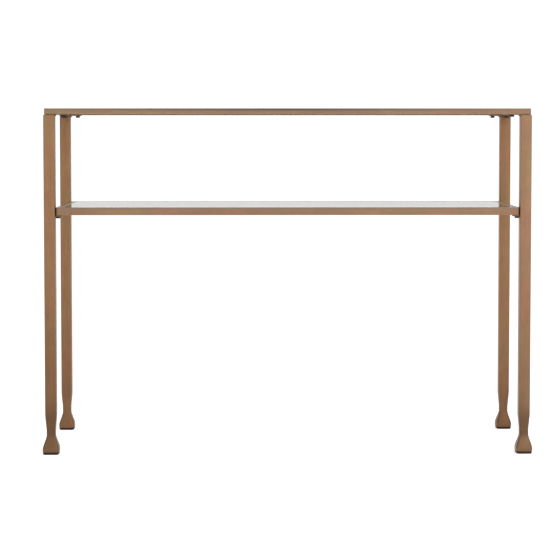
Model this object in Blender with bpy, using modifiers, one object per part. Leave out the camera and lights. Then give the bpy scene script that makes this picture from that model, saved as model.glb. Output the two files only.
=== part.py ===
"""A slim console table: a metal frame on four swaged legs, with a glass top and shelf that drop in.

Metres, +Z up. X runs along the table and -Y is its front. The origin is on the floor under its middle.
"""

import math

import bmesh
import bpy
from mathutils import Matrix

# Overall size, measured over the leg tubes.
WIDTH = 1.105
DEPTH = 0.349
HEIGHT = 0.787
GAP = 0.0003  # left between pieces that touch, weld or bolt together
BOLT_GAP = 0.0003  # radial clearance of a bolt in its hole

# Legs: a square tube drawn in to a neck and flared out to a square foot.
TUBE = 0.0254
TUBE_CORNER = 0.002
LEG_WALL = 0.0015
LEG_CAP = 0.0020  # plug plate welded into the top of the tube
LEG_INNER_CORNER = 0.0005  # least corner radius inside the tube
NECK = 0.0202
NECK_CORNER = 0.0034
FOOT = 0.0372
FOOT_CORNER = 0.0062
FOOT_STRAIGHT = 0.0140  # the foot's sides stand upright below this height
NECK_LOW = 0.0420
NECK_HIGH = 0.0550
SWAGE_TOP = 0.0910
STRAIGHTNESS = 0.65  # of the swaged slopes: 1 is a straight cone, 0 an S
SWAGE_STEPS = 4
FLARE_STEPS = 5

# Rubber sole, with a plug that is pressed into the open foot.
SOLE = 0.0048
SOLE_WIDTH = 0.0350
SOLE_CORNER = 0.0060
SOLE_EDGE = 0.0007
PLUG_WIDTH = 0.0270
PLUG_TAPER = 0.0010
PLUG_HEIGHT = 0.0070

# Top frame: flat rectangular tube, mitred at the corners.
INSET = 0.002  # how far both frames stand back from the legs' outer faces
TOP_RAIL_HEIGHT = 0.0127
TOP_RAIL_WIDTH = 0.0254
TOP_CORNER = 0.0020
RAIL_WALL = 0.0012
RAIL_EDGE = 0.0010
RAIL_EDGE_STEPS = 2
RAIL_INNER_CORNER = 0.0008  # least corner radius inside a frame

# Shelf frame: upright rectangular tube between the left and the right legs.
SHELF_TOP = 0.5629
SHELF_RAIL_HEIGHT = 0.0175
SHELF_RAIL_WIDTH = 0.0127
SHELF_CORNER = 0.0070

# Glass panes, the ledges that carry them and the bumpers in between.
GLASS = 0.0050
GLASS_CLEARANCE = 0.0015
GLASS_ARRIS = 0.0005
GLASS_CORNER = 0.0020
GLASS_RECESS = 0.0002  # how far a pane lies below the top of its frame
LEDGE = 0.0030
LEDGE_WIDTH = 0.0100
LEDGE_CORNER = 0.0010
BUMPER = 0.0010
BUMPER_RADIUS = 0.0040
BUMPER_FLAT = 0.0032  # radius of a bumper's flat top
BUMPER_SIDE = 0.0005  # height of its upright side
BUMPER_SPACING = 0.12  # from a bumper to the nearer end of its long rail

# Corner plates on the leg tops and tabs on the legs' inner faces.
PLATE = 0.0016
PLATE_ARM = 0.0500
PLATE_WIDTH = 0.0234
PLATE_CORNER = 0.0030
TAB = 0.0027
TAB_LENGTH = 0.0155
TAB_WIDTH = 0.0200
TAB_CORNER = 0.0020

# Black cap screws.
BOLT_RADIUS = 0.0030
BOLT_LENGTH = 0.0110
HEAD_RADIUS = 0.0050
HEAD_HEIGHT = 0.0040
HEAD_EDGE = 0.0006
SOCKET_FLATS = 0.0040
SOCKET_DEPTH = 0.0022
NUT_RADIUS = 0.0050
NUT_HEIGHT = 0.0050
TOP_BOLT_ALONG = 0.0435  # from a leg's outer face, along the rail
TOP_BOLT_ACROSS = 0.0135  # from a leg's outer face, across the rail
SHELF_BOLT_FROM_LEG = 0.0060

# Heights and centres that follow from the sizes above.
RAIL_BOTTOM = HEIGHT - TOP_RAIL_HEIGHT
PLATE_TOP = RAIL_BOTTOM - GAP
PLATE_BOTTOM = PLATE_TOP - PLATE
LEG_TOP = PLATE_BOTTOM - GAP
LEG_BOTTOM = SOLE + GAP
LEG_X = WIDTH / 2 - TUBE / 2
LEG_Y = DEPTH / 2 - TUBE / 2
FRAME_X = WIDTH / 2 - INSET
FRAME_Y = DEPTH / 2 - INSET
SHELF_X = WIDTH / 2 - TUBE - GAP
SHELF_BOTTOM = SHELF_TOP - SHELF_RAIL_HEIGHT
TAB_TOP = SHELF_BOTTOM - GAP
TAB_BOTTOM = TAB_TOP - TAB

SIDES = {"left": -1, "right": 1}
ENDS = {"front": -1, "rear": 1}
ARC_STEPS = 3  # segments in a quarter round
TAB_ARC_STEPS = 2
BOLT_SIDES = 16
HEXAGON = 6
OVERRUN = 0.002  # how far a cutter reaches past what it cuts
MERGE = 0.00001  # points nearer than this become one
SHARPEST_BEND = 50  # degrees; a corner above this is bevelled
SMOOTH_BEND = 35  # degrees; shading is smooth below this


def clear_scene():
    for obj in list(bpy.data.objects):
        bpy.data.objects.remove(obj, do_unlink=True)


def make_collection(name):
    collection = bpy.data.collections.new(name)
    bpy.context.scene.collection.children.link(collection)
    return collection


def make_material(name, colour, roughness, metallic=0.0, transmission=0.0):
    material = bpy.data.materials.new(name)
    material.use_nodes = True
    shader = material.node_tree.nodes["Principled BSDF"]
    shader.inputs["Base Color"].default_value = (*colour, 1.0)
    shader.inputs["Roughness"].default_value = roughness
    shader.inputs["Metallic"].default_value = metallic
    shader.inputs["Transmission Weight"].default_value = transmission
    material.diffuse_color = (*colour, 1.0)
    return material


def add_object(name, mesh, collection, material=None, location=(0, 0, 0)):
    obj = bpy.data.objects.new(name, mesh)
    obj.location = location
    collection.objects.link(obj)
    if material:
        mesh.materials.clear()
        mesh.materials.append(material)
    return obj


def hide_cutter(obj):
    obj.hide_render = True
    obj.display_type = "WIRE"
    return obj


# Outlines and sections.


def rounded_rectangle(half_x, half_y, radius, steps=ARC_STEPS):
    """Points of a rectangle with round corners, anticlockwise from the +X +Y corner."""
    points = []
    for corner, (sx, sy) in enumerate(((1, 1), (-1, 1), (-1, -1), (1, -1))):
        for step in range(steps + 1):
            angle = math.pi / 2 * (corner + step / steps)
            x = sx * (half_x - radius) + radius * math.cos(angle)
            y = sy * (half_y - radius) + radius * math.sin(angle)
            points.append((x, y))
    return points


def square_ring(width, corner, height):
    return [(x, y, height) for x, y in rounded_rectangle(width / 2, width / 2, corner)]


def between(a, b, share):
    return a + (b - a) * share


def eased(share):
    """A nearly straight way from 0 to 1 that starts and ends gently."""
    wave = 0.5 - 0.5 * math.cos(math.pi * share)
    return between(wave, share, STRAIGHTNESS)


def leg_section(height):
    """Width and corner radius of a leg's outside at a height above the floor."""
    if height >= SWAGE_TOP:
        return TUBE, TUBE_CORNER
    if height >= NECK_HIGH:
        share = eased((SWAGE_TOP - height) / (SWAGE_TOP - NECK_HIGH))
        return between(TUBE, NECK, share), between(TUBE_CORNER, NECK_CORNER, share)
    if height >= NECK_LOW:
        return NECK, NECK_CORNER
    share = eased(min(1.0, (NECK_LOW - height) / (NECK_LOW - FOOT_STRAIGHT)))
    return between(NECK, FOOT, share), between(NECK_CORNER, FOOT_CORNER, share)


# Meshes.


def finish_mesh(builder, name):
    bmesh.ops.recalc_face_normals(builder, faces=builder.faces)
    mesh = bpy.data.meshes.new(name)
    builder.to_mesh(mesh)
    builder.free()
    return mesh


def loft(name, rings):
    """A skin over a row of rings, with a flat cap on the first and on the last."""
    builder = bmesh.new()
    rows = [[builder.verts.new(point) for point in ring] for ring in rings]
    builder.faces.new(rows[0])
    builder.faces.new(rows[-1])
    for low, high in zip(rows, rows[1:]):
        for i, corner in enumerate(low):
            j = i - 1
            builder.faces.new((low[j], corner, high[i], high[j]))
    return finish_mesh(builder, name)


def prism(name, outlines, bottom, top):
    """A flat plate from a filled 2D curve. The first outline is its edge and any others are holes."""
    curve = bpy.data.curves.new(name, "CURVE")
    curve.dimensions = "2D"
    curve.fill_mode = "BOTH"
    curve.extrude = (top - bottom) / 2
    for outline in outlines:
        spline = curve.splines.new("POLY")
        spline.points.add(len(outline) - 1)
        spline.use_cyclic_u = True
        for point, (x, y) in zip(spline.points, outline):
            point.co = (x, y, 0, 1)
    holder = bpy.data.objects.new(name + "_curve", curve)
    bpy.context.scene.collection.objects.link(holder)
    graph = bpy.context.evaluated_depsgraph_get()
    flat = bpy.data.meshes.new_from_object(holder.evaluated_get(graph))
    bpy.data.objects.remove(holder, do_unlink=True)
    builder = bmesh.new()
    builder.from_mesh(flat)
    bmesh.ops.remove_doubles(builder, verts=builder.verts, dist=MERGE)
    bmesh.ops.translate(builder, verts=builder.verts, vec=(0, 0, (top + bottom) / 2))
    return finish_mesh(builder, name)


def cylinders(name, places, radius, bottom, top, sides):
    """Upright cylinders at the given (x, y) places, as one mesh."""
    builder = bmesh.new()
    for x, y in places:
        bmesh.ops.create_cone(
            builder,
            cap_ends=True,
            segments=sides,
            radius1=radius,
            radius2=radius,
            depth=top - bottom,
            matrix=Matrix.Translation((x, y, (top + bottom) / 2)),
        )
    return finish_mesh(builder, name)


def profile_mesh(name, profile):
    """The outline that a Screw modifier turns about Z, from its top down its outer side."""
    mesh = bpy.data.meshes.new(name)
    points = [(radius, 0, height) for radius, height in profile]
    edges = [(i, i + 1) for i in range(len(points) - 1)]
    mesh.from_pydata(points, edges, [])
    return mesh


# Modifiers.


def turn(obj, steps):
    screw = obj.modifiers.new("turn", "SCREW")
    screw.steps = steps
    screw.render_steps = steps
    screw.use_merge_vertices = True
    screw.merge_threshold = MERGE
    return obj


def boolean(obj, other, operation):
    modifier = obj.modifiers.new(operation.lower(), "BOOLEAN")
    modifier.operation = operation
    modifier.object = other
    return obj


def round_edges(obj, width, segments):
    bevel = obj.modifiers.new("edges", "BEVEL")
    bevel.width = width
    bevel.segments = segments
    bevel.limit_method = "ANGLE"
    bevel.angle_limit = math.radians(SHARPEST_BEND)
    return obj


def shade_round(mesh):
    mesh.shade_smooth()
    mesh.set_sharp_from_angle(angle=math.radians(SMOOTH_BEND))


# Bolt places.


def top_bolt_places():
    """Two bolts for each leg: one into the long rail and one into the side rail."""
    along_x = WIDTH / 2 - TOP_BOLT_ALONG
    along_y = DEPTH / 2 - TOP_BOLT_ALONG
    across_x = WIDTH / 2 - TOP_BOLT_ACROSS
    across_y = DEPTH / 2 - TOP_BOLT_ACROSS
    places = {}
    for end, sy in ENDS.items():
        for side, sx in SIDES.items():
            places[f"top_bolt_{end}_{side}_long"] = (sx * along_x, sy * across_y)
            places[f"top_bolt_{end}_{side}_side"] = (sx * across_x, sy * along_y)
    return places


def shelf_bolt_places():
    x = WIDTH / 2 - TUBE - SHELF_BOLT_FROM_LEG
    places = {}
    for end, sy in ENDS.items():
        for side, sx in SIDES.items():
            places[f"shelf_bolt_{end}_{side}"] = (sx * x, sy * LEG_Y)
    return places


# Frames.


def mitre_outlines(half_x, half_y, reach):
    """For each rail of a frame, the outline that a mitre at both of its ends leaves to it."""
    out = reach / 2
    cut = GAP / math.sqrt(2)
    outlines = {}
    for end, sy in ENDS.items():
        outlines[end] = [
            (-half_x - out + cut, sy * (half_y + out)),
            (half_x + out - cut, sy * (half_y + out)),
            (half_x - reach - cut, sy * (half_y - reach)),
            (-half_x + reach + cut, sy * (half_y - reach)),
        ]
    for side, sx in SIDES.items():
        outlines[side] = [
            (sx * (half_x + out), -half_y - out + cut),
            (sx * (half_x + out), half_y + out - cut),
            (sx * (half_x - reach), half_y - reach - cut),
            (sx * (half_x - reach), -half_y + reach + cut),
        ]
    return outlines


def ring_outlines(half_x, half_y, width, corner):
    """The outer and the inner outline of a rectangular frame."""
    inner_corner = max(corner - width, RAIL_INNER_CORNER)
    outer = rounded_rectangle(half_x, half_y, corner)
    inner = rounded_rectangle(half_x - width, half_y - width, inner_corner)
    return [outer, inner]


def mitred_frame(prefix, suffix, size, levels, edge, parts, cutters, material, inside=()):
    """Four mitred pieces named PREFIX_SIDE_SUFFIX, hollowed by the (cutter, operation) pairs of inside."""
    half_x, half_y, width, corner = size
    bottom, top = levels
    outlines = mitre_outlines(half_x, half_y, width + 2 * OVERRUN)
    for side, outline in outlines.items():
        name = f"{prefix}_{side}_{suffix}"
        ring = prism(name, ring_outlines(half_x, half_y, width, corner), bottom, top)
        piece = add_object(name, ring, parts, material)
        if edge:
            round_edges(piece, edge, RAIL_EDGE_STEPS)
        for cutter, operation in inside:
            boolean(piece, cutter, operation)
        wedge = prism(name + "_mitre", [outline], bottom - OVERRUN, top + OVERRUN)
        boolean(piece, hide_cutter(add_object(name + "_mitre", wedge, cutters)), "INTERSECT")


def tube_inside(prefix, size, levels, bolts, cutters):
    """What hollows a frame's tube and leaves weld nuts with their holes over the bolts."""
    half_x, half_y, width, corner = size
    bottom, top = levels
    wall = RAIL_WALL
    hollow_corner = max(corner - wall, RAIL_INNER_CORNER)
    hollow_size = (half_x - wall, half_y - wall, width - 2 * wall, hollow_corner)
    hollow = prism(prefix + "_hollow", ring_outlines(*hollow_size), bottom + wall, top - wall)
    places = list(bolts.values())
    nut_bottom = bottom + wall / 2
    nut_top = bottom + wall + NUT_HEIGHT
    nuts = cylinders(prefix + "_nuts", places, NUT_RADIUS, nut_bottom, nut_top, HEXAGON)
    hole_radius = BOLT_RADIUS + BOLT_GAP
    hole_levels = (bottom - PLATE - OVERRUN, nut_top + OVERRUN)
    holes = cylinders(prefix + "_holes", places, hole_radius, *hole_levels, BOLT_SIDES)
    made = []
    for mesh, operation in ((hollow, "DIFFERENCE"), (nuts, "UNION"), (holes, "DIFFERENCE")):
        made.append((hide_cutter(add_object(mesh.name, mesh, cutters)), operation))
    return made


def make_top_frame(parts, cutters, materials):
    size = (FRAME_X, FRAME_Y, TOP_RAIL_WIDTH, TOP_CORNER)
    levels = (RAIL_BOTTOM, HEIGHT)
    inside = tube_inside("top", size, levels, top_bolt_places(), cutters)
    mitred_frame("top", "rail", size, levels, RAIL_EDGE, parts, cutters, materials["metal"], inside)
    return inside[2][0]


def make_shelf_frame(parts, cutters, materials):
    size = (SHELF_X, FRAME_Y, SHELF_RAIL_WIDTH, SHELF_CORNER)
    levels = (SHELF_BOTTOM, SHELF_TOP)
    inside = tube_inside("shelf", size, levels, shelf_bolt_places(), cutters)
    mitred_frame("shelf", "rail", size, levels, RAIL_EDGE, parts, cutters, materials["metal"], inside)
    return inside[2][0]


def make_pane(prefix, half_x, half_y, frame_top, parts, cutters, materials):
    """A glass pane in the opening of a frame, with the ledges and the bumpers under it."""
    top = frame_top - GLASS_RECESS
    bottom = top - GLASS
    edge_x = half_x - GLASS_CLEARANCE
    edge_y = half_y - GLASS_CLEARANCE
    outline = rounded_rectangle(edge_x, edge_y, GLASS_CORNER)
    pane = prism(f"{prefix}_glass", [outline], bottom, top)
    round_edges(add_object(f"{prefix}_glass", pane, parts, materials["glass"]), GLASS_ARRIS, 1)

    ledge_top = bottom - BUMPER - 2 * GAP
    ledge_size = (half_x - GAP, half_y - GAP, LEDGE_WIDTH, LEDGE_CORNER)
    levels = (ledge_top - LEDGE, ledge_top)
    mitred_frame(prefix, "ledge", ledge_size, levels, 0, parts, cutters, materials["metal"])

    profile = [
        (0, BUMPER),
        (BUMPER_FLAT, BUMPER),
        (BUMPER_RADIUS, BUMPER_SIDE),
        (BUMPER_RADIUS, 0),
        (0, 0),
    ]
    bumper = profile_mesh(f"{prefix}_bumper", profile)
    bumper_x = half_x - BUMPER_SPACING
    bumper_y = half_y - LEDGE_WIDTH / 2 - GAP
    for end, sy in ENDS.items():
        for side, sx in SIDES.items():
            name = f"{prefix}_bumper_{end}_{side}"
            place = (sx * bumper_x, sy * bumper_y, ledge_top + GAP)
            turn(add_object(name, bumper, parts, materials["silicone"], place), BOLT_SIDES)


# Legs and what is fixed to them.


def heights_between(start, end, steps):
    return [between(start, end, step / steps) for step in range(steps + 1)]


def leg_mesh():
    """A tube with a closed top and an open foot, from its top down the outside and back up the inside."""
    swage = heights_between(SWAGE_TOP, NECK_HIGH, SWAGE_STEPS)
    flare = heights_between(NECK_LOW, FOOT_STRAIGHT, FLARE_STEPS)
    outside = [LEG_TOP, *swage, *flare, LEG_BOTTOM]
    inside = [LEG_BOTTOM, *reversed(flare[::2]), NECK_HIGH, SWAGE_TOP, LEG_TOP - LEG_CAP]
    rings = []
    for height in outside:
        width, corner = leg_section(height)
        rings.append(square_ring(width, corner, height))
    for height in inside:
        width, corner = leg_section(height)
        corner = max(corner - LEG_WALL, LEG_INNER_CORNER)
        rings.append(square_ring(width - 2 * LEG_WALL, corner, height))
    mesh = loft("leg", rings)
    shade_round(mesh)
    return mesh


def foot_pad_mesh():
    plug_bottom = square_ring(PLUG_WIDTH, SOLE_CORNER / 2, SOLE)
    plug_top = square_ring(PLUG_WIDTH - PLUG_TAPER, SOLE_CORNER / 2, SOLE + PLUG_HEIGHT)
    rings = [
        square_ring(SOLE_WIDTH - 2 * SOLE_EDGE, SOLE_CORNER, 0),
        square_ring(SOLE_WIDTH, SOLE_CORNER, SOLE_EDGE),
        square_ring(SOLE_WIDTH, SOLE_CORNER, SOLE),
        plug_bottom,
        plug_top,
    ]
    return loft("foot_pad", rings)


def make_legs(parts, materials):
    leg = leg_mesh()
    pad = foot_pad_mesh()
    for end, sy in ENDS.items():
        for side, sx in SIDES.items():
            place = (sx * LEG_X, sy * LEG_Y, 0)
            add_object(f"leg_{end}_{side}", leg, parts, materials["metal"], place)
            add_object(f"foot_pad_{end}_{side}", pad, parts, materials["rubber"], place)


def plate_outline(sx, sy):
    """The L of a corner plate, from its outer corner along both rails."""
    x = sx * FRAME_X
    y = sy * FRAME_Y
    arm_x = x - sx * PLATE_ARM
    arm_y = y - sy * PLATE_ARM
    in_x = x - sx * PLATE_WIDTH
    in_y = y - sy * PLATE_WIDTH
    cut_x = sx * PLATE_CORNER
    cut_y = sy * PLATE_CORNER
    return [
        (x, y),
        (x, arm_y + cut_y),
        (x - cut_x, arm_y),
        (in_x + cut_x, arm_y),
        (in_x, arm_y + cut_y),
        (in_x, in_y),
        (arm_x + cut_x, in_y),
        (arm_x, in_y + cut_y),
        (arm_x, y - cut_y),
        (arm_x + cut_x, y),
    ]


def make_corner_plates(parts, holes, materials):
    for end, sy in ENDS.items():
        for side, sx in SIDES.items():
            name = f"corner_plate_{end}_{side}"
            mesh = prism(name, [plate_outline(sx, sy)], PLATE_BOTTOM, PLATE_TOP)
            boolean(add_object(name, mesh, parts, materials["metal"]), holes, "DIFFERENCE")


def make_shelf_tabs(parts, holes, materials):
    outline = rounded_rectangle(TAB_LENGTH / 2, TAB_WIDTH / 2, TAB_CORNER, TAB_ARC_STEPS)
    centre_x = WIDTH / 2 - TUBE - GAP - TAB_LENGTH / 2
    for end, sy in ENDS.items():
        for side, sx in SIDES.items():
            name = f"shelf_tab_{end}_{side}"
            placed = [(x + sx * centre_x, y + sy * LEG_Y) for x, y in outline]
            mesh = prism(name, [placed], TAB_BOTTOM, TAB_TOP)
            boolean(add_object(name, mesh, parts, materials["metal"]), holes, "DIFFERENCE")


# Fasteners.


def bolt_mesh():
    profile = [
        (0, BOLT_LENGTH),
        (BOLT_RADIUS - HEAD_EDGE, BOLT_LENGTH),
        (BOLT_RADIUS, BOLT_LENGTH - HEAD_EDGE),
        (BOLT_RADIUS, 0),
        (HEAD_RADIUS, 0),
        (HEAD_RADIUS, HEAD_EDGE - HEAD_HEIGHT),
        (HEAD_RADIUS - HEAD_EDGE, -HEAD_HEIGHT),
        (0, -HEAD_HEIGHT),
    ]
    return profile_mesh("cap_screw", profile)


def make_bolts(places, seat, parts, cutters, materials):
    """Cap screws that point up, with their heads under the given height."""
    screw = bolt_mesh()
    socket_radius = SOCKET_FLATS / math.sqrt(3)
    for name, (x, y) in places.items():
        bolt = add_object(name, screw, parts, materials["black_steel"], (x, y, seat))
        turn(bolt, BOLT_SIDES)
        bottom = seat - HEAD_HEIGHT
        socket_levels = (bottom - OVERRUN, bottom + SOCKET_DEPTH)
        hexagon = cylinders(name + "_socket", [(x, y)], socket_radius, *socket_levels, HEXAGON)
        boolean(bolt, hide_cutter(add_object(name + "_socket", hexagon, cutters)), "DIFFERENCE")


def make_materials():
    return {
        "metal": make_material("bronze_paint", (0.36, 0.20, 0.12), 0.42, metallic=0.55),
        "glass": make_material("clear_glass", (0.86, 0.93, 0.90), 0.02, transmission=1.0),
        "rubber": make_material("black_rubber", (0.02, 0.018, 0.016), 0.8),
        "silicone": make_material("clear_silicone", (0.85, 0.86, 0.84), 0.3, transmission=0.6),
        "black_steel": make_material("black_steel", (0.025, 0.022, 0.02), 0.4, metallic=0.8),
    }


def main():
    clear_scene()
    parts = make_collection("console_table")
    cutters = make_collection("cutters")
    materials = make_materials()
    make_legs(parts, materials)
    top_holes = make_top_frame(parts, cutters, materials)
    shelf_holes = make_shelf_frame(parts, cutters, materials)
    top_opening = (FRAME_X - TOP_RAIL_WIDTH, FRAME_Y - TOP_RAIL_WIDTH)
    make_pane("top", *top_opening, HEIGHT, parts, cutters, materials)
    shelf_opening = (SHELF_X - SHELF_RAIL_WIDTH, FRAME_Y - SHELF_RAIL_WIDTH)
    make_pane("shelf", *shelf_opening, SHELF_TOP, parts, cutters, materials)
    make_corner_plates(parts, top_holes, materials)
    make_shelf_tabs(parts, shelf_holes, materials)
    make_bolts(top_bolt_places(), LEG_TOP, parts, cutters, materials)
    make_bolts(shelf_bolt_places(), TAB_BOTTOM - GAP, parts, cutters, materials)


main()
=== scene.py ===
"""The looks of a slim console table: satin bronze tube on swaged feet, with a glass top and a glass shelf.

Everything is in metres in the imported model's frame, +Z up, with the table's front facing -Y.
"""

import math

import bmesh
import bpy
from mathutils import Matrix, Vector, noise


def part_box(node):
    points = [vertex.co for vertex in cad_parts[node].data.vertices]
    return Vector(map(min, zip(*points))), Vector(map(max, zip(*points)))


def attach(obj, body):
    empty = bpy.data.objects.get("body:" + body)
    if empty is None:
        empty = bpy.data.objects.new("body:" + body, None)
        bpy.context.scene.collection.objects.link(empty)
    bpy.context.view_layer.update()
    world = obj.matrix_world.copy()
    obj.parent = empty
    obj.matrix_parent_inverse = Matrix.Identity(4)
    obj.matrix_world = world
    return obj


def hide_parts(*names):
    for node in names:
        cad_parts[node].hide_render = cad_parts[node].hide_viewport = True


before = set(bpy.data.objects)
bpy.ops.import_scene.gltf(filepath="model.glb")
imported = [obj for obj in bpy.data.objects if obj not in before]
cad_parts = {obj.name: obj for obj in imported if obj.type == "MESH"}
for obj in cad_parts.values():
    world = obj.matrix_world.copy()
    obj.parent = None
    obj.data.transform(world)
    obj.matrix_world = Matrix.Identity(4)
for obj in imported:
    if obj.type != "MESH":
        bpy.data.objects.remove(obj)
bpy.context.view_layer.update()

ENDS = ("front", "rear")
SIDES = ("left", "right")

# Camera: a long lens at just under table height, a little left of the middle.
CAMERA_PLACE = (-0.0692, -4.0199, 0.7372)
CAMERA_TILT = 2.8865  # degrees below the horizon
CAMERA_TURN = 0.7614  # degrees towards +X
CAMERA_LENS = 109.3  # mm
SENSOR_WIDTH = 36  # mm
CAMERA_SHIFT = -0.114

# Studio: a wide pale glowing floor under a dome of light, with one soft lamp on each side.
FLOOR_RADIUS = 60.0
FLOOR_GLOW = 0.35
DOME_HORIZON = 0.82
DOME_ZENITH = 0.90
DOME_SEEN = 1.10
GLOW_SIDE = (0.38, -0.92, 0.12)  # where a large soft light brightens the dome, and by how much
GLOW = 1.05
GLOW_RANGE = (0.84, 0.985)  # cosine to its middle, from where it starts to where it is full
DOME_SIDES = 0.55  # share of the light left where dark flags stand, at the left and right
FLAG_RANGE = (0.45, 0.95)  # how far to a side the flags start and are full
KEY_POWER = 67
KEY_PLACE = (2.0, -3.4, 4.3)
KEY_SIZE = (2.4, 2.4)
FILL_POWER = 20
FILL_PLACE = (-2.2, -2.6, 3.8)
FILL_SIZE = (1.8, 1.8)
LAMP_TARGET = (0, 0, 0.4)

# Legs: a square tube drawn in to a neck and flared out to a square foot.
TUBE = 0.0254
TUBE_CORNER = 0.002
LEG_WALL = 0.0015
NECK = 0.0202
NECK_CORNER = 0.0034
FOOT_CORNER = 0.0062
FOOT_STRAIGHT = 0.0140
FOOT_RIM = 0.0012  # radius of the foot's lower edge
NECK_LOW = 0.0420
NECK_HIGH = 0.0550
SWAGE_TOP = 0.0910
STRAIGHTNESS = 0.65  # of the swaged slopes: 1 is a straight cone, 0 an S
RING_SPACING = 0.0015
CORNER_STEPS = 7
FORGING = 0.00022  # depth of the hand-worked unevenness of the swaged end
FORGING_SCALE = 70
TOP_EDGE = 0.0003  # chamfer at the top of a leg
RIM_STEPS = 4
LEAST_CORNER = 0.0005
BORE_SLACK = 0.0002  # how much thicker the wall is than LEG_WALL

# Soles.
SOLE_EDGE = 0.0012
SOLE_CORNER = 0.0060
TREAD_DEPTH = 0.0006
TREADS = 4
TREAD_EDGE = 0.0015  # from the outermost tread to the rounded edge
GROOVE_SLOPE = 0.0002
SOLE_HEIGHT = 0.0048
SOLE_TOP_EDGE = 0.0004
PLUG_HALF = 0.0135
PLUG_TOP_HALF = 0.0130
EDGE_STEPS = 5  # segments in a rounded edge of a sole or a screw head

# Cap screws.
HEAD_RADIUS = 0.0050
HEAD_HEIGHT = 0.0040
HEAD_ROUND = 0.0007
BOLT_RADIUS = 0.0030
SOCKET_FLATS = 0.0040
SOCKET_DEPTH = 0.0022
KNURLS = 36
KNURL_DEPTH = 0.00018
KNURL_LOW = 0.0010  # from the head's outer end to the knurls
KNURL_HIGH = 0.0007  # from the knurls to the seat
SOCKET_EDGE = 0.0003
DRILL_TIP = 0.0006  # depth of the cone at the bottom of the socket
THREAD_EDGE = 0.0006

# Paint: two tones that the streaks mix, the scale of the streaks, and the painted shade that darkens the
# legs downwards.
RAIL_TONES = ((0.212, 0.121, 0.062), (0.259, 0.154, 0.081))
SHELF_TONES = ((0.214, 0.115, 0.056), (0.262, 0.147, 0.073))
LEG_TONES = ((0.248, 0.125, 0.057), (0.296, 0.155, 0.074))
# Front right leg: lighter, less warm tones, a painted highlight from the lamp at the right.
HIGHLIT_LEG_TONES = ((0.260, 0.141, 0.074), (0.311, 0.175, 0.096))
ROSE = (1.03, 0.955, 1.0)
OLIVE = (0.97, 1.045, 1.0)
# Plates, tabs, welds and seams: a darker copy of the bronze, painted shade as under the rails.
SHADED_BRACKET_TONES = ((0.125, 0.072, 0.036), (0.165, 0.098, 0.050))
ALONG_X = (3.0, 60.0, 60.0)
ALONG_Y = (60.0, 3.0, 60.0)
ALONG_Z = (60.0, 60.0, 3.0)
BRUSH_FINENESS = 11.0  # how much finer the brush marks are than the streaks
WEAR_RADIUS = 0.0012
WEAR_RANGE = (0.97, 0.85)  # edge mask, from no wear to full wear
WEAR = 0.30
# Painted shade in the corners: how far the occlusion mask looks for nearby pieces.
CORNER_SHADE_REACH = 0.012
CORNER_SHADE_RANGE = (0.35, 0.85)  # share of open sky, from full painted corner shade to none
SHADE_GREEN = 0.11  # how much faster green and blue darken than red in the painted height shade
SHADE_BLUE = 0.36
HALF_SPAN = 0.55  # from mid-span to where a rail's painted dark reflection is at its end value
UPRIGHT_RANGE = (0.80, 0.97)  # steepness of a face's normal, from full painted reflection line to none
# Painted shade on each leg, as (height, share of the light left): darker towards the floor, and at the neck
# of the front legs.
FRONT_LEFT_STOPS = (
    (0.0, 0.50), (0.012, 0.62), (0.034, 0.60), (0.046, 0.43),
    (0.082, 0.44), (0.12, 0.61), (0.45, 0.88), (0.72, 0.98),
)
FRONT_RIGHT_STOPS = (
    (0.0, 0.55), (0.012, 0.66), (0.034, 0.62), (0.046, 0.42),
    (0.082, 0.45), (0.12, 0.70), (0.45, 0.95), (0.72, 1.0),
)
REAR_LEFT_STOPS = (
    (0.0, 0.55), (0.012, 0.65), (0.034, 0.65), (0.046, 0.65),
    (0.082, 0.63), (0.12, 0.67), (0.45, 0.97), (0.72, 1.0),
)
REAR_RIGHT_STOPS = (
    (0.0, 0.42), (0.012, 0.52), (0.034, 0.54), (0.046, 0.57),
    (0.082, 0.60), (0.12, 0.70), (0.45, 0.97), (0.72, 0.95),
)
LEG_PAINT = {
    "leg_front_left": (LEG_TONES, FRONT_LEFT_STOPS),
    "leg_front_right": (HIGHLIT_LEG_TONES, FRONT_RIGHT_STOPS),
    "leg_rear_left": (LEG_TONES, REAR_LEFT_STOPS),
    "leg_rear_right": (LEG_TONES, REAR_RIGHT_STOPS),
}

# Painted reflection of a dark ceiling: a dark line along a rail's upper edge. From and to height, share at
# mid-span and at the ends, and tone.
TOP_REFLECTION_BAND = (0.7800, 0.7845, 0.96, 0.05, (0.052, 0.037, 0.034))
SHELF_REFLECTION_BAND = (0.5570, 0.5625, 0.66, 0.44, (0.128, 0.130, 0.134))

# Welds.
BEAD_PITCH = 0.0017
LEG_BEAD = 0.0034
TAB_BEAD = 0.0022
LEDGE_BEAD = 0.0018
STITCH = 0.018  # length of one short bead
STITCH_SPACING = 0.17
STITCH_SEEDS = 20  # seeds set aside for one ledge
BEAD_STEPS = 6  # segments across a bead
BEAD_SAG = 0.18  # how far a bead's face falls in between its walls
BEAD_ROOT = 0.0001  # how far a bead reaches into its corner
LEDGES = [(prefix, side, side in ENDS) for prefix in ("top", "shelf") for side in ENDS + SIDES]

# Mitres.
TOP_RAIL_WIDTH = 0.0254
TOP_CORNER = 0.0020
SHELF_RAIL_WIDTH = 0.0127
SHELF_CORNER = 0.0070
SEAM_HALF = 0.00012  # half the width of a filled mitre
SEAM_DEPTH = 0.00015  # how far it lies below the faces
SEAM_EDGE = 0.0010
SEAM_STEPS = 4  # segments in each of its rounded edges
MITRES = (("top", TOP_RAIL_WIDTH, TOP_CORNER), ("shelf", SHELF_RAIL_WIDTH, SHELF_CORNER))


# Meshes.


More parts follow.
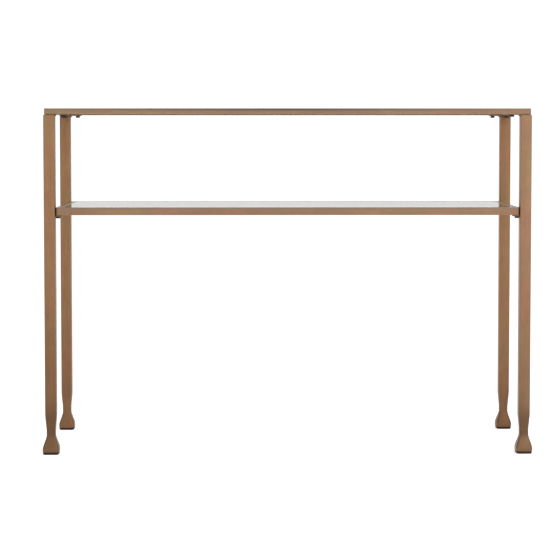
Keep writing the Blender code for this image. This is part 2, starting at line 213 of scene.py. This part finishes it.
def rounded_square(half, radius, steps=CORNER_STEPS):
    points = []
    for corner, (sx, sy) in enumerate(((1, 1), (-1, 1), (-1, -1), (1, -1))):
        for step in range(steps + 1):
            angle = math.pi / 2 * (corner + step / steps)
            x = sx * (half - radius) + radius * math.cos(angle)
            y = sy * (half - radius) + radius * math.sin(angle)
            points.append((x, y))
    return points


def loft(name, *skins):
    """One mesh of closed skins, each over a row of rings with a cap on the first and on the last."""
    builder = bmesh.new()
    for rings in skins:
        rows = [[builder.verts.new(point) for point in ring] for ring in rings]
        builder.faces.new(rows[0])
        builder.faces.new(rows[-1])
        for low, high in zip(rows, rows[1:]):
            for i, corner in enumerate(low):
                builder.faces.new((low[i - 1], corner, high[i], high[i - 1]))
    bmesh.ops.recalc_face_normals(builder, faces=builder.faces)
    mesh = bpy.data.meshes.new(name)
    builder.to_mesh(mesh)
    builder.free()
    return mesh


def add_piece(name, mesh, material, body="frame", replaces=(), sharp=40):
    mesh.shade_smooth()
    mesh.set_sharp_from_angle(angle=math.radians(sharp))
    piece = bpy.data.objects.new(name, mesh)
    bpy.context.scene.collection.objects.link(piece)
    mesh.materials.append(material)
    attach(piece, body)
    if replaces:
        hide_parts(*replaces)
    return piece


def between(a, b, share):
    return a + (b - a) * share


def steps_between(start, end, spacing):
    count = max(1, round(abs(end - start) / spacing))
    return [between(start, end, i / count) for i in range(count + 1)]


# Legs and soles.


def eased(share):
    """A nearly straight way from 0 to 1 that starts and ends gently."""
    wave = 0.5 - 0.5 * math.cos(math.pi * share)
    return between(wave, share, STRAIGHTNESS)


def leg_section(height, foot):
    """Width and corner radius of a leg's outside at a height above the floor."""
    if height >= SWAGE_TOP:
        return TUBE, TUBE_CORNER
    if height >= NECK_HIGH:
        share = eased((SWAGE_TOP - height) / (SWAGE_TOP - NECK_HIGH))
        return between(TUBE, NECK, share), between(TUBE_CORNER, NECK_CORNER, share)
    if height >= NECK_LOW:
        return NECK, NECK_CORNER
    share = eased(min(1.0, (NECK_LOW - height) / (NECK_LOW - FOOT_STRAIGHT)))
    return between(NECK, foot, share), between(NECK_CORNER, FOOT_CORNER, share)


def worked(point, centre, seed):
    """Presses a point of the swaged end inwards by a small smooth random amount."""
    height = point[2]
    fade = min(1.0, max(0.0, (SWAGE_TOP - height) / (SWAGE_TOP - NECK_HIGH)))
    sample = Vector(point) * FORGING_SCALE + Vector((seed * 13.7, 0, 0))
    press = fade * FORGING * (0.5 + 0.5 * noise.noise(sample))
    flat = Vector((point[0] - centre[0], point[1] - centre[1], 0))
    flat -= flat.normalized() * press
    return (centre[0] + flat.x, centre[1] + flat.y, height)


def leg_rings(low, high, seed):
    centre = ((low.x + high.x) / 2, (low.y + high.y) / 2)
    foot = high.x - low.x
    heights = [high.z - TOP_EDGE, SWAGE_TOP + 0.02]
    heights += steps_between(SWAGE_TOP, low.z + FOOT_RIM, RING_SPACING)
    outside = [(height, 0.0) for height in heights]
    for step in range(1, RIM_STEPS + 1):
        angle = math.pi / 2 * step / RIM_STEPS
        drop = FOOT_RIM * math.sin(angle)
        outside.append((low.z + FOOT_RIM - drop, FOOT_RIM * (1 - math.cos(angle))))
    rings = []
    top = rounded_square(TUBE / 2 - TOP_EDGE, TUBE_CORNER)
    rings.append([(centre[0] + x, centre[1] + y, high.z) for x, y in top])
    for height, inset in outside:
        width, corner = leg_section(height, foot)
        ring = rounded_square(width / 2 - inset, max(corner - inset, LEAST_CORNER))
        points = [(centre[0] + x, centre[1] + y, height) for x, y in ring]
        rings.append([worked(point, centre, seed) for point in points])
    inner_heights = steps_between(low.z, NECK_LOW, 3 * RING_SPACING)
    inner_heights += [NECK_HIGH, SWAGE_TOP, high.z - LEG_WALL]
    for height in inner_heights:
        width, corner = leg_section(height, foot)
        ring = rounded_square(width / 2 - LEG_WALL - BORE_SLACK, max(corner - LEG_WALL, LEAST_CORNER))
        rings.append([(centre[0] + x, centre[1] + y, height) for x, y in ring])
    return rings


def make_legs():
    for seed, (node, (tones, stops)) in enumerate(LEG_PAINT.items(), 1):
        low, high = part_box(node)
        mesh = loft(node + "_tube", leg_rings(low, high, seed))
        paint = bronze_paint(node + "_bronze", ALONG_Z, tones, stops=stops, coat=0.04, corner_shade=0.4)
        add_piece(node + "_tube", mesh, paint, replaces=[node])


def sole_rings(low, high):
    """Treaded underside, rounded edge, upright side, flat top and the plug that holds it in the foot."""
    half = (high.x - low.x) / 2
    rings = []
    inner = half - SOLE_EDGE - TREAD_EDGE
    groove = inner / (2 * TREADS + 1)
    for band in range(2 * TREADS + 1):
        depth = TREAD_DEPTH if band % 2 else 0.0
        for reach in (band * groove + GROOVE_SLOPE, (band + 1) * groove - GROOVE_SLOPE):
            corner = min(SOLE_CORNER, reach)
            rings.append((reach, corner, low.z + depth))
    for step in range(EDGE_STEPS + 1):
        angle = math.pi / 2 * step / EDGE_STEPS
        reach = half - SOLE_EDGE + SOLE_EDGE * math.sin(angle)
        rings.append((reach, SOLE_CORNER, low.z + SOLE_EDGE * (1 - math.cos(angle))))
    top = low.z + SOLE_HEIGHT
    rings += [(half, SOLE_CORNER, top - SOLE_TOP_EDGE), (half - SOLE_TOP_EDGE, SOLE_CORNER, top)]
    rings += [(PLUG_HALF, SOLE_CORNER / 2, top), (PLUG_TOP_HALF, SOLE_CORNER / 2, high.z)]
    x = (low.x + high.x) / 2
    y = (low.y + high.y) / 2
    return [
        [(x + px, y + py, height) for px, py in rounded_square(reach, corner)]
        for reach, corner, height in rings
    ]


def make_soles(material):
    for end in ENDS:
        for side in SIDES:
            node = f"foot_pad_{end}_{side}"
            low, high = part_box(node)
            mesh = loft(node + "_sole", sole_rings(low, high))
            add_piece(node + "_sole", mesh, material, replaces=[node])


# Cap screws.


def knurled(radius, angle, depth):
    return radius - depth * (0.5 - 0.5 * math.cos(KNURLS * angle))


def turned_ring(x, y, radius, height, sides, depth=0.0):
    points = []
    for side in range(sides):
        angle = 2 * math.pi * side / sides
        reach = knurled(radius, angle, depth)
        points.append((x + reach * math.cos(angle), y + reach * math.sin(angle), height))
    return points


def hexagon_ring(x, y, radius, height, sides):
    """A hexagon with as many points as the round rings, so that both join in one skin."""
    points = []
    for side in range(sides):
        angle = 2 * math.pi * side / sides
        within = (angle + math.pi / 6) % (math.pi / 3) - math.pi / 6
        reach = radius * math.cos(math.pi / 6) / math.cos(within)
        points.append((x + reach * math.cos(angle), y + reach * math.sin(angle), height))
    return points


def screw_rings(low, high):
    x = (low.x + high.x) / 2
    y = (low.y + high.y) / 2
    bottom = low.z
    seat = bottom + HEAD_HEIGHT
    sides = 3 * KNURLS
    hexagon = SOCKET_FLATS / math.sqrt(3)
    mouth = hexagon + SOCKET_EDGE
    rings = [
        hexagon_ring(x, y, hexagon * 0.2, bottom + SOCKET_DEPTH + DRILL_TIP, sides),
        hexagon_ring(x, y, hexagon, bottom + SOCKET_DEPTH, sides),
        hexagon_ring(x, y, hexagon, bottom + SOCKET_EDGE, sides),
        turned_ring(x, y, mouth, bottom, sides),
    ]
    for step in range(EDGE_STEPS + 1):
        angle = math.pi / 2 * step / EDGE_STEPS
        radius = HEAD_RADIUS - HEAD_ROUND + HEAD_ROUND * math.sin(angle)
        height = bottom + HEAD_ROUND * (1 - math.cos(angle))
        rings.append(turned_ring(x, y, radius, height, sides))
    for height in (bottom + KNURL_LOW, seat - KNURL_HIGH):
        rings.append(turned_ring(x, y, HEAD_RADIUS, height, sides, KNURL_DEPTH))
    rings.append(turned_ring(x, y, HEAD_RADIUS - 0.0001, seat - 0.0004, sides))
    rings.append(turned_ring(x, y, HEAD_RADIUS - 0.0005, seat, sides))
    rings.append(turned_ring(x, y, BOLT_RADIUS, seat, sides))
    rings.append(turned_ring(x, y, BOLT_RADIUS, high.z - THREAD_EDGE, sides))
    rings.append(turned_ring(x, y, BOLT_RADIUS - THREAD_EDGE, high.z, sides))
    return rings


def make_screws(material):
    nodes = sorted(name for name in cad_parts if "_bolt_" in name)
    for node in nodes:
        low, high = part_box(node)
        mesh = loft(node + "_screw", screw_rings(low, high))
        add_piece(node + "_screw", mesh, material, replaces=[node], sharp=30)


# Welds.


def weld_rings(start, end, wall_one, wall_two, size, seed):
    """A rippled fillet bead in the corner between two walls, given by their inward normals."""
    start = Vector(start)
    end = Vector(end)
    wall_one = Vector(wall_one)
    wall_two = Vector(wall_two)
    length = (end - start).length
    count = max(6, round(length / BEAD_PITCH * 5))
    rings = []
    for i in range(count + 1):
        along = length * i / count
        centre = start.lerp(end, i / count)
        taper = min(1.0, (min(along, length - along) / size + 0.15)) ** 0.5
        ripple = 0.90 + 0.10 * math.cos(2 * math.pi * along / BEAD_PITCH)
        wander = 1 + 0.10 * noise.noise(Vector((along * 300, seed * 7.3, 0)))
        reach = size * taper * ripple * wander
        ring = [centre - (wall_one + wall_two) * BEAD_ROOT]
        for step in range(BEAD_STEPS + 1):
            angle = math.pi / 2 * step / BEAD_STEPS
            bulge = 1 - BEAD_SAG * math.sin(2 * angle)
            ring.append(centre + (wall_one * math.cos(angle) + wall_two * math.sin(angle)) * reach * bulge)
        rings.append(ring)
    return rings


def make_welds(material):
    """Beads between each leg and its corner plate, and between each leg and its shelf tab."""
    seed = 0
    for end in ENDS:
        for side in SIDES:
            sx = 1 if side == "right" else -1
            sy = 1 if end == "rear" else -1
            leg_low, leg_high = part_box(f"leg_{end}_{side}")
            x = (leg_low.x + leg_high.x) / 2
            y = (leg_low.y + leg_high.y) / 2
            inner_x = x - sx * TUBE / 2
            inner_y = y - sy * TUBE / 2
            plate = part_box(f"corner_plate_{end}_{side}")[0].z
            half = TUBE / 2 - TUBE_CORNER
            seed += 1
            rings = weld_rings(
                (inner_x, y - half, plate), (inner_x, y + half, plate),
                (-sx, 0, 0), (0, 0, -1), LEG_BEAD, seed,
            )
            name = f"leg_weld_{end}_{side}_long"
            add_piece(name, loft(name, rings), material)
            seed += 1
            rings = weld_rings(
                (x - half, inner_y, plate), (x + half, inner_y, plate),
                (0, -sy, 0), (0, 0, -1), LEG_BEAD, seed,
            )
            name = f"leg_weld_{end}_{side}_side"
            add_piece(name, loft(name, rings), material)
            tab_low, tab_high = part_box(f"shelf_tab_{end}_{side}")
            seed += 1
            tab_half = (tab_high.y - tab_low.y) / 2 - 0.001
            rings = weld_rings(
                (inner_x, y - tab_half, tab_low.z), (inner_x, y + tab_half, tab_low.z),
                (-sx, 0, 0), (0, 0, -1), TAB_BEAD, seed,
            )
            name = f"tab_weld_{end}_{side}"
            add_piece(name, loft(name, rings), material)


def make_stitches(material):
    """Short beads that hold each ledge to its rail from below, a row of them to a ledge."""
    for seed, (prefix, side, along_x) in enumerate(LEDGES):
        low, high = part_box(f"{prefix}_{side}_ledge")
        long_way = (high.x - low.x) if along_x else (high.y - low.y)
        count = max(2, round(long_way / STITCH_SPACING))
        beads = []
        for i in range(count):
            middle = long_way * ((i + 0.5) / count - 0.5)
            start, end = middle - STITCH / 2, middle + STITCH / 2
            if along_x:
                wall = low.y if side == "front" else high.y
                inward = (0, 1 if side == "front" else -1, 0)
                ends = ((start, wall, low.z), (end, wall, low.z))
            else:
                wall = low.x if side == "left" else high.x
                inward = (1 if side == "left" else -1, 0, 0)
                ends = ((wall, start, low.z), (wall, end, low.z))
            beads.append(weld_rings(*ends, inward, (0, 0, -1), LEDGE_BEAD, seed * STITCH_SEEDS + i))
        name = f"{prefix}_{side}_ledge_stitches"
        add_piece(name, loft(name, *beads), material)


def seam_ring(corner, inward, span, levels, shift):
    """The mitre's section, a rectangle with rounded edges in the diagonal plane, moved along its normal."""
    diagonal = Vector((inward[0], inward[1], 0)).normalized()
    normal = Vector((-diagonal.y, diagonal.x, 0))
    near, far = span
    bottom, top = levels
    reach = SEAM_EDGE * math.sqrt(2)
    ring = []
    for quarter, (end, level) in enumerate(((far, top), (near, top), (near, bottom), (far, bottom))):
        out = -1 if end == near else 1
        up = 1 if level == top else -1
        for step in range(SEAM_STEPS + 1):
            angle = math.pi / 2 * (quarter + step / SEAM_STEPS)
            distance = end - out * reach + reach * math.cos(angle)
            height = level - up * SEAM_EDGE + SEAM_EDGE * math.sin(angle)
            ring.append(corner + diagonal * distance + normal * shift + Vector((0, 0, height)))
    return ring


def make_seams(material):
    """The ground weld that fills each mitre, a little below the faces of the rails."""
    for prefix, width, corner_cut in MITRES:
        front_low, front_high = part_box(f"{prefix}_front_rail")
        rear_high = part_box(f"{prefix}_rear_rail")[1]
        side_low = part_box(f"{prefix}_left_rail")[0]
        side_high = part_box(f"{prefix}_right_rail")[1]
        cut = corner_cut * (math.sqrt(2) - 1)
        span = (cut + SEAM_DEPTH, width * math.sqrt(2) - SEAM_DEPTH)
        levels = (front_low.z + SEAM_DEPTH, front_high.z - SEAM_DEPTH)
        for end in ENDS:
            for side in SIDES:
                x = side_high.x if side == "right" else side_low.x
                y = rear_high.y if end == "rear" else front_low.y
                inward = (-1 if side == "right" else 1, -1 if end == "rear" else 1)
                rings = [
                    seam_ring(Vector((x, y, 0)), inward, span, levels, shift)
                    for shift in (-SEAM_HALF, SEAM_HALF)
                ]
                name = f"{prefix}_mitre_seam_{end}_{side}"
                add_piece(name, loft(name, rings), material)


# Materials.


def new_material(name):
    material = bpy.data.materials.new(name)
    material.use_nodes = True
    nodes = material.node_tree.nodes
    return material, nodes, material.node_tree.links, nodes["Principled BSDF"]


def math_node(nodes, links, operation, one, two=None):
    node = nodes.new("ShaderNodeMath")
    node.operation = operation
    for socket, value in zip(node.inputs, (one, two)):
        if value is None:
            continue
        if isinstance(value, (int, float)):
            socket.default_value = value
        else:
            links.new(value, socket)
    return node.outputs[0]


def map_range(nodes, links, value, low, high, out_low, out_high):
    node = nodes.new("ShaderNodeMapRange")
    node.inputs["From Min"].default_value = low
    node.inputs["From Max"].default_value = high
    node.inputs["To Min"].default_value = out_low
    node.inputs["To Max"].default_value = out_high
    links.new(value, node.inputs["Value"])
    return node.outputs["Result"]


def mix_colour(nodes, links, share, one, two, blend="MIX"):
    node = nodes.new("ShaderNodeMix")
    node.data_type = "RGBA"
    node.blend_type = blend
    node.clamp_factor = True
    for socket, value in ((node.inputs[0], share), (node.inputs[6], one), (node.inputs[7], two)):
        if isinstance(value, tuple):
            socket.default_value = (*value, 1.0)
        elif isinstance(value, (int, float)):
            socket.default_value = value
        else:
            links.new(value, socket)
    return node.outputs[2]


def noise_node(nodes, links, vector, scale, detail=3.0, roughness=0.5):
    node = nodes.new("ShaderNodeTexNoise")
    node.inputs["Scale"].default_value = scale
    node.inputs["Detail"].default_value = detail
    node.inputs["Roughness"].default_value = roughness
    links.new(vector, node.inputs["Vector"])
    return node.outputs["Fac"]


def stretched(nodes, links, vector, scale):
    node = nodes.new("ShaderNodeMapping")
    node.inputs["Scale"].default_value = scale
    links.new(vector, node.inputs["Vector"])
    return node.outputs["Vector"]


def edge_mask(nodes, links, radius):
    """1 on a flat face, falling towards 0 at a sharp edge."""
    bevel = nodes.new("ShaderNodeBevel")
    bevel.inputs["Radius"].default_value = radius
    bevel.samples = 6
    geometry = nodes.new("ShaderNodeNewGeometry")
    dot = nodes.new("ShaderNodeVectorMath")
    dot.operation = "DOT_PRODUCT"
    links.new(bevel.outputs["Normal"], dot.inputs[0])
    links.new(geometry.outputs["True Normal"], dot.inputs[1])
    return dot.outputs["Value"]


def worn_edges(nodes, links, colour, tone):
    """Rubs the paint thin along the sharp edges, to a lighter tone."""
    worn = map_range(nodes, links, edge_mask(nodes, links, WEAR_RADIUS), *WEAR_RANGE, 0.0, WEAR)
    return mix_colour(nodes, links, worn, colour, tone)


def painted_corner_shade(nodes, links, colour, tone, strongest):
    """Paints shade: darker where two pieces meet, where little open sky reaches the surface."""
    shade = nodes.new("ShaderNodeAmbientOcclusion")
    shade.inputs["Distance"].default_value = CORNER_SHADE_REACH
    shade.samples = 8
    corner_shade = map_range(nodes, links, shade.outputs["AO"], *CORNER_SHADE_RANGE, strongest, 0.0)
    return mix_colour(nodes, links, corner_shade, colour, tone)


def painted_height_shade(nodes, links, place, colour, stops):
    """Paints shade: darkens the paint by its height above the floor, as (height, share of the light left)
    stops.
    """
    height = nodes.new("ShaderNodeSeparateXYZ")
    links.new(place, height.inputs[0])
    ramp = nodes.new("ShaderNodeValToRGB")
    links.new(height.outputs["Z"], ramp.inputs["Fac"])
    while len(ramp.color_ramp.elements) < len(stops):
        ramp.color_ramp.elements.new(0.5)
    for element, (position, left) in zip(ramp.color_ramp.elements, stops):
        element.position = position
        element.color = (left, left * left ** SHADE_GREEN, left * left ** SHADE_BLUE, 1.0)
    return mix_colour(nodes, links, 1.0, colour, ramp.outputs["Color"], "MULTIPLY")


def painted_edge_reflection(nodes, links, place, colour, band):
    """A painted reflection: a dark line along a rail's upper edge, strongest at mid-span."""
    low, high, at_middle, at_end, tone = band
    split = nodes.new("ShaderNodeSeparateXYZ")
    links.new(place, split.inputs[0])
    across = map_range(nodes, links, split.outputs["Z"], low, high, 0.0, 1.0)
    reach = math_node(nodes, links, "ABSOLUTE", split.outputs["X"])
    along = map_range(nodes, links, reach, 0.0, HALF_SPAN, at_middle, at_end)
    geometry = nodes.new("ShaderNodeNewGeometry")
    facing = nodes.new("ShaderNodeSeparateXYZ")
    links.new(geometry.outputs["True Normal"], facing.inputs[0])
    upward = math_node(nodes, links, "ABSOLUTE", facing.outputs["Z"])
    upright = map_range(nodes, links, upward, *UPRIGHT_RANGE, 1.0, 0.0)
    line = math_node(nodes, links, "MULTIPLY", across, along)
    share = math_node(nodes, links, "MULTIPLY", line, upright)
    return mix_colour(nodes, links, share, colour, tone)


def bronze_paint(name, grain, tones, stops=None, band=None, coat=0.5, corner_shade=0.7):
    """Satin bronze powder coat with flakes, brushed streaks, painted shade in the corners and worn edges;
    with stops, painted shade by height; with a band, a painted dark reflection along the upper edges.
    """
    material, nodes, links, shader = new_material(name)
    dark, light = (Vector(tone) for tone in tones)
    middle = (dark + light) / 2
    fine_grain = tuple(scale * BRUSH_FINENESS for scale in grain)
    place = nodes.new("ShaderNodeTexCoord").outputs["Object"]
    streaks = noise_node(nodes, links, stretched(nodes, links, place, grain), 1.0, 4.0, 0.6)
    mottle = noise_node(nodes, links, place, 26.0, 3.0)
    flakes = noise_node(nodes, links, place, 1900.0, 1.0)

    streaked = map_range(nodes, links, streaks, 0.3, 0.7, 0.0, 1.0)
    colour = mix_colour(nodes, links, streaked, tuple(dark), tuple(light))
    marks = noise_node(nodes, links, stretched(nodes, links, place, fine_grain), 1.0, 3.0, 0.65)
    brushed = map_range(nodes, links, marks, 0.3, 0.7, 0.87, 1.13)
    colour = mix_colour(nodes, links, 1.0, colour, brushed, "MULTIPLY")
    cloudy = map_range(nodes, links, mottle, 0.35, 0.75, 0.0, 0.38)
    colour = mix_colour(nodes, links, cloudy, colour, tuple(dark * 0.80))
    drift = map_range(nodes, links, noise_node(nodes, links, place, 8.0, 2.0), 0.35, 0.65, 0.0, 1.0)
    hue = mix_colour(nodes, links, drift, ROSE, OLIVE)
    colour = mix_colour(nodes, links, 1.0, colour, hue, "MULTIPLY")
    sparkling = map_range(nodes, links, flakes, 0.62, 0.75, 0.0, 0.45)
    colour = mix_colour(nodes, links, sparkling, colour, tuple(middle * 1.75))
    colour = worn_edges(nodes, links, colour, tuple(middle * 1.35))
    # Painted shade: darker where pieces meet, by an occlusion mask.
    if corner_shade:
        colour = painted_corner_shade(nodes, links, colour, tuple(dark * 0.22), corner_shade)
    # Painted shade: darker towards the floor, by height.
    if stops:
        colour = painted_height_shade(nodes, links, place, colour, stops)
    # Painted reflection: a dark line along a rail's upper edge.
    if band:
        colour = painted_edge_reflection(nodes, links, place, colour, band)
    links.new(colour, shader.inputs["Base Color"])

    roughness = map_range(nodes, links, marks, 0.3, 0.7, 0.37, 0.49)
    links.new(roughness, shader.inputs["Roughness"])
    shader.inputs["Metallic"].default_value = 0.6
    shader.inputs["Coat Weight"].default_value = coat
    shader.inputs["Coat Roughness"].default_value = 0.22

    peel = noise_node(nodes, links, place, 950.0, 2.0)
    bump = nodes.new("ShaderNodeBump")
    bump.inputs["Strength"].default_value = 0.35
    bump.inputs["Distance"].default_value = 0.00006
    links.new(peel, bump.inputs["Height"])
    links.new(bump.outputs["Normal"], shader.inputs["Normal"])
    return material


def black_oxide():
    material, nodes, links, shader = new_material("black_oxide")
    place = nodes.new("ShaderNodeTexCoord").outputs["Object"]
    blotch = noise_node(nodes, links, place, 420.0, 3.0)
    colour = mix_colour(nodes, links, blotch, (0.022, 0.013, 0.009), (0.060, 0.038, 0.026))
    worn = map_range(nodes, links, edge_mask(nodes, links, 0.0004), 0.97, 0.8, 0.0, 0.25)
    links.new(mix_colour(nodes, links, worn, colour, (0.105, 0.078, 0.056)), shader.inputs["Base Color"])
    links.new(map_range(nodes, links, blotch, 0.3, 0.7, 0.44, 0.60), shader.inputs["Roughness"])
    shader.inputs["Metallic"].default_value = 0.45
    bump = nodes.new("ShaderNodeBump")
    bump.inputs["Strength"].default_value = 0.3
    bump.inputs["Distance"].default_value = 0.00003
    links.new(noise_node(nodes, links, place, 2600.0, 2.0), bump.inputs["Height"])
    links.new(bump.outputs["Normal"], shader.inputs["Normal"])
    return material


def black_rubber():
    material, nodes, links, shader = new_material("moulded_rubber")
    place = nodes.new("ShaderNodeTexCoord").outputs["Object"]
    dust = noise_node(nodes, links, place, 160.0, 4.0)
    colour = mix_colour(nodes, links, dust, (0.014, 0.006, 0.002), (0.044, 0.020, 0.008))
    links.new(colour, shader.inputs["Base Color"])
    links.new(map_range(nodes, links, dust, 0.3, 0.7, 0.62, 0.80), shader.inputs["Roughness"])
    shader.inputs["Specular IOR Level"].default_value = 0.25
    bump = nodes.new("ShaderNodeBump")
    bump.inputs["Strength"].default_value = 0.5
    bump.inputs["Distance"].default_value = 0.00008
    links.new(noise_node(nodes, links, place, 1500.0, 3.0), bump.inputs["Height"])
    links.new(bump.outputs["Normal"], shader.inputs["Normal"])
    return material


def silicone():
    material, nodes, links, shader = new_material("clear_silicone_dots")
    place = nodes.new("ShaderNodeTexCoord").outputs["Object"]
    cloud = noise_node(nodes, links, place, 500.0, 2.0)
    colour = mix_colour(nodes, links, cloud, (0.78, 0.80, 0.78), (0.92, 0.93, 0.91))
    links.new(colour, shader.inputs["Base Color"])
    links.new(map_range(nodes, links, cloud, 0.3, 0.7, 0.18, 0.34), shader.inputs["Roughness"])
    shader.inputs["IOR"].default_value = 1.41
    shader.inputs["Transmission Weight"].default_value = 0.7
    return material


def clear_glass():
    """Float glass: polished, faintly wavy, with a faint green tint. Lamps shine through it."""
    material, nodes, links, shader = new_material("float_glass")
    shader.inputs["Base Color"].default_value = (0.97, 0.985, 0.98, 1.0)
    shader.inputs["IOR"].default_value = 1.52
    shader.inputs["Transmission Weight"].default_value = 1.0
    place = nodes.new("ShaderNodeTexCoord").outputs["Object"]
    smears = noise_node(nodes, links, place, 9.0, 4.0)
    links.new(map_range(nodes, links, smears, 0.45, 0.75, 0.004, 0.025), shader.inputs["Roughness"])
    bump = nodes.new("ShaderNodeBump")
    bump.inputs["Strength"].default_value = 0.02
    bump.inputs["Distance"].default_value = 0.0001
    links.new(noise_node(nodes, links, place, 7.0, 1.0), bump.inputs["Height"])
    links.new(bump.outputs["Normal"], shader.inputs["Normal"])
    rays = nodes.new("ShaderNodeLightPath")
    clear = nodes.new("ShaderNodeBsdfTransparent")
    clear.inputs["Color"].default_value = (0.90, 0.93, 0.915, 1.0)
    both = nodes.new("ShaderNodeMixShader")
    links.new(rays.outputs["Is Shadow Ray"], both.inputs[0])
    links.new(shader.outputs[0], both.inputs[1])
    links.new(clear.outputs[0], both.inputs[2])
    output = nodes["Material Output"]
    links.new(both.outputs[0], output.inputs["Surface"])
    return material


def paint_nodes(materials):
    """Gives each CAD node that stays its finish."""
    for name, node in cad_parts.items():
        if node.hide_render:
            continue
        if name.endswith("_glass"):
            material = materials["glass"]
        elif "_bumper_" in name:
            material = materials["silicone"]
        elif name.startswith("top_") and name.endswith("_rail"):
            material = materials["top_rail_y" if "_left_" in name or "_right_" in name else "top_rail_x"]
        elif name.endswith("_ledge"):
            material = materials["ledge"]
        elif not name.endswith("_rail"):
            material = materials["bracket"]
        elif "_left_" in name or "_right_" in name:
            material = materials["metal_y"]
        else:
            material = materials["metal_x"]
        node.data.materials.clear()
        node.data.materials.append(material)


# Stage.


def make_floor():
    builder = bmesh.new()
    bmesh.ops.create_circle(builder, cap_ends=True, segments=96, radius=FLOOR_RADIUS)
    mesh = bpy.data.meshes.new("floor")
    builder.to_mesh(mesh)
    builder.free()
    floor = bpy.data.objects.new("floor", mesh)
    bpy.context.scene.collection.objects.link(floor)
    material, nodes, links, shader = new_material("pale_floor")
    shader.inputs["Base Color"].default_value = (0.93, 0.93, 0.93, 1.0)
    shader.inputs["Roughness"].default_value = 0.9
    shader.inputs["Specular IOR Level"].default_value = 0.0
    shader.inputs["Emission Color"].default_value = (1.0, 1.0, 1.0, 1.0)
    shader.inputs["Emission Strength"].default_value = FLOOR_GLOW
    mesh.materials.append(material)


def make_world():
    """A dome, dimmer at its sides, with a soft glow in front. The camera itself sees it as plain white."""
    world = bpy.data.worlds.new("studio")
    bpy.context.scene.world = world
    world.use_nodes = True
    nodes = world.node_tree.nodes
    links = world.node_tree.links
    background = nodes["Background"]
    direction = nodes.new("ShaderNodeTexCoord")
    split = nodes.new("ShaderNodeSeparateXYZ")
    links.new(direction.outputs["Generated"], split.inputs[0])
    dome = map_range(nodes, links, split.outputs["Z"], 0.0, 1.0, DOME_HORIZON, DOME_ZENITH)
    sideways = math_node(nodes, links, "ABSOLUTE", split.outputs["X"])
    flagged = map_range(nodes, links, sideways, *FLAG_RANGE, 1.0, DOME_SIDES)
    dome = math_node(nodes, links, "MULTIPLY", dome, flagged)
    toward = nodes.new("ShaderNodeVectorMath")
    toward.operation = "DOT_PRODUCT"
    toward.inputs[1].default_value = Vector(GLOW_SIDE).normalized()
    links.new(direction.outputs["Generated"], toward.inputs[0])
    glow = map_range(nodes, links, toward.outputs["Value"], *GLOW_RANGE, 0.0, GLOW)
    dome = math_node(nodes, links, "ADD", dome, glow)
    rays = nodes.new("ShaderNodeLightPath")
    level = nodes.new("ShaderNodeMix")
    level.data_type = "FLOAT"
    links.new(rays.outputs["Is Camera Ray"], level.inputs[0])
    links.new(dome, level.inputs[2])
    level.inputs[3].default_value = DOME_SEEN
    links.new(level.outputs[0], background.inputs["Strength"])
    background.inputs["Color"].default_value = (1, 1, 1, 1)


def add_area(name, place, target, size, power):
    light = bpy.data.lights.new(name, "AREA")
    light.shape = "RECTANGLE"
    light.size, light.size_y = size
    light.energy = power
    lamp = bpy.data.objects.new(name, light)
    bpy.context.scene.collection.objects.link(lamp)
    lamp.location = place
    lamp.rotation_euler = (Vector(target) - Vector(place)).to_track_quat("-Z", "Y").to_euler()


def make_lights():
    add_area("key", KEY_PLACE, LAMP_TARGET, KEY_SIZE, KEY_POWER)
    add_area("fill", FILL_PLACE, LAMP_TARGET, FILL_SIZE, FILL_POWER)


def make_camera():
    data = bpy.data.cameras.new("camera")
    data.lens = CAMERA_LENS
    data.sensor_width = SENSOR_WIDTH
    data.shift_y = CAMERA_SHIFT
    camera = bpy.data.objects.new("camera", data)
    bpy.context.scene.collection.objects.link(camera)
    camera.location = CAMERA_PLACE
    camera.rotation_euler = (math.radians(90 - CAMERA_TILT), 0, math.radians(-CAMERA_TURN))
    bpy.context.scene.camera = camera


def main():
    scene = bpy.context.scene
    scene.view_settings.view_transform = "Standard"
    materials = {
        # Painted shade: each bronze below darkens its corners by the strength given last; the rail bronzes
        # also carry a painted dark reflection along their upper edges.
        "top_rail_x": bronze_paint("top_rail_bronze", ALONG_X, RAIL_TONES, band=TOP_REFLECTION_BAND, corner_shade=0.15),
        "top_rail_y": bronze_paint("top_side_bronze", ALONG_Y, RAIL_TONES, band=TOP_REFLECTION_BAND, corner_shade=0.15),
        "metal_x": bronze_paint("bronze_along_x", ALONG_X, SHELF_TONES, band=SHELF_REFLECTION_BAND, corner_shade=0.1),
        "metal_y": bronze_paint("bronze_along_y", ALONG_Y, SHELF_TONES, band=SHELF_REFLECTION_BAND, corner_shade=0.1),
        # Painted shade: the plates, tabs, welds and seams take a darker copy of the bronze.
        "bracket": bronze_paint("shaded_bracket_bronze", ALONG_X, SHADED_BRACKET_TONES, coat=0.0, corner_shade=0.3),
        "ledge": bronze_paint("ledge_bronze", ALONG_X, RAIL_TONES, coat=0.06, corner_shade=0.0),
        "steel": black_oxide(),
        "rubber": black_rubber(),
        "silicone": silicone(),
        "glass": clear_glass(),
    }
    make_legs()
    make_soles(materials["rubber"])
    make_screws(materials["steel"])
    make_welds(materials["bracket"])
    make_stitches(materials["ledge"])
    make_seams(materials["bracket"])
    paint_nodes(materials)
    make_floor()
    make_world()
    make_lights()
    make_camera()


main()
